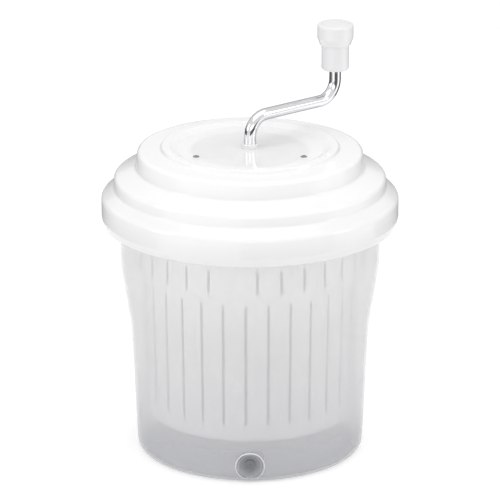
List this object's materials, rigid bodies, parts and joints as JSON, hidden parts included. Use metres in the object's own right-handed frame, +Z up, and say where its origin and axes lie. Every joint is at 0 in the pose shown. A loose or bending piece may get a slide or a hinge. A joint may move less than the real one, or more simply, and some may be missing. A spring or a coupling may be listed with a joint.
{
  "type": "salad spinner",
  "caption": "Large hand-cranked salad spinner: tapered translucent tub, slotted basket on a pivot, stepped lid with planetary drive, bent crank with knob.",
  "frame": {"origin": "middle of the tub's foot ring, on the surface that it stands on", "axes": "+Z up along the tub's axis, the drain faces -Y, +X to the right of the drain"},
  "size_m": [0.43, 0.43, 0.6125],
  "materials": {
    "tub": "translucent moulded polypropylene",
    "lid": "translucent moulded polypropylene, glossy outside",
    "basket": "moulded white polypropylene",
    "white_plastic": "moulded",
    "bush_plastic": "machined acetal",
    "gear_plastic": "moulded acetal gear",
    "knob_plastic": "glossy moulded",
    "grey_plastic": "moulded",
    "drain_plug": "soft rubber",
    "rubber": "soft rubber",
    "chrome": "polished",
    "steel": "turned stainless steel"
  },
  "bodies": {
    "tub_body": {"tub": "tub", "pivot_pin": "steel", "pivot_washer": "steel", "pivot_nut": "steel", "drain_bushing": "grey_plastic", "drain_seal": "rubber", "drain_nut": "grey_plastic"},
    "plug_body": {"drain_plug": "drain_plug"},
    "thrust_body": {"thrust_cap": "bush_plastic"},
    "basket_body": {"basket": "basket", "basket_bush": "bush_plastic"},
    "lid_body": {"lid": "lid", "gear_housing": "white_plastic", "ring_gear": "gear_plastic", "housing_cover": "white_plastic", "crank_bush": "bush_plastic", "output_bush": "bush_plastic", "lid_screws": "steel", "cover_screws": "steel"},
    "crank_body": {"crank_rod": "chrome", "planet_carrier": "gear_plastic", "planet_pins": "steel", "planet_clips": "steel", "cross_pin": "steel", "knob_screw": "steel", "knob_washer": "steel"},
    "knob_body": {"knob": "knob_plastic", "knob_cap": "knob_plastic", "knob_sleeve": "bush_plastic"},
    "planet_1": {"planet_gear_1": "gear_plastic"},
    "planet_2": {"planet_gear_2": "gear_plastic"},
    "planet_3": {"planet_gear_3": "gear_plastic"},
    "drive_body": {"sun_gear": "gear_plastic", "drive_disc": "white_plastic", "drive_washer": "steel", "drive_bolt": "steel"}
  },
  "joints": [
    {"name": "lid_lift", "type": "slide", "parent": "tub_body", "child": "lid_body", "axis": [0, 0, 1], "range_m": [0, 0.6]},
    {"name": "crank_turn", "type": "hinge", "parent": "lid_body", "child": "crank_body", "pos_m": [0, 0, 0.454], "axis": [0, 0, 1], "continuous": true},
    {"name": "knob_spin", "type": "hinge", "parent": "crank_body", "child": "knob_body", "pos_m": [0.12423, 0.10241, 0.574], "axis": [0, 0, 1], "continuous": true},
    {"name": "drive_spin", "type": "hinge", "parent": "lid_body", "child": "drive_body", "pos_m": [0, 0, 0.404], "axis": [0, 0, 1], "continuous": true},
    {"name": "basket_spin", "type": "hinge", "parent": "tub_body", "child": "thrust_body", "pos_m": [0, 0, 0.05], "axis": [0, 0, 1], "continuous": true},
    {"name": "basket_lift", "type": "slide", "parent": "thrust_body", "child": "basket_body", "axis": [0, 0, 1], "range_m": [0, 0.33]},
    {"name": "plug_pull", "type": "slide", "parent": "tub_body", "child": "plug_body", "axis": [0, -1, 0], "range_m": [0, 0.03]},
    {"name": "planet_spin_1", "type": "hinge", "parent": "crank_body", "child": "planet_1", "pos_m": [0.045, 0, 0.4268], "axis": [0, 0, 1], "continuous": true},
    {"name": "planet_spin_2", "type": "hinge", "parent": "crank_body", "child": "planet_2", "pos_m": [-0.0225, 0.03897, 0.4268], "axis": [0, 0, 1], "continuous": true},
    {"name": "planet_spin_3", "type": "hinge", "parent": "crank_body", "child": "planet_3", "pos_m": [-0.0225, -0.03897, 0.4268], "axis": [0, 0, 1], "continuous": true}
  ],
  "couplings": [
    {"joint": "drive_spin", "follows": "crank_turn", "ratio": 4},
    {"joint": "basket_spin", "follows": "crank_turn", "ratio": 4},
    {"joint": "basket_lift", "follows": "lid_lift", "ratio": 0.55},
    {"joint": "planet_spin_1", "follows": "crank_turn", "ratio": -3},
    {"joint": "planet_spin_2", "follows": "crank_turn", "ratio": -3},
    {"joint": "planet_spin_3", "follows": "crank_turn", "ratio": -3}
  ]
}
